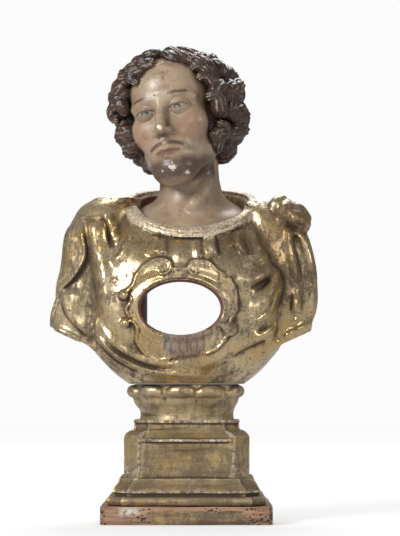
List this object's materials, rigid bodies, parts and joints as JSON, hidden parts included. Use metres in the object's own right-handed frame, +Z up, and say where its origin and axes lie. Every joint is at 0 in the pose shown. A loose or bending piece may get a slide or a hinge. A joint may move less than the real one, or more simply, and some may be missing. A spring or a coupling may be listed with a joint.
{
  "type": "reliquary bust",
  "caption": "Carved, gilded and painted wooden reliquary bust of a curly-haired man with an oval relic window in the chest, on a moulded pedestal.",
  "frame": {"origin": "middle of the plinth slab's underside", "axes": "+Z up, -Y towards the viewer in front of the bust, +X to the viewer's right"},
  "size_m": [0.3209, 0.1817, 0.5667],
  "materials": {
    "bust": "worn leaf gilding on the drapery, painted flesh and hair",
    "pedestal": "worn leaf gilding over gesso",
    "plinth_slab": "worn gilding, bare wood at the ends"
  },
  "bodies": {
    "root": {"bust": "bust", "pedestal": "pedestal", "plinth_slab": "plinth_slab"}
  },
  "joints": []
}
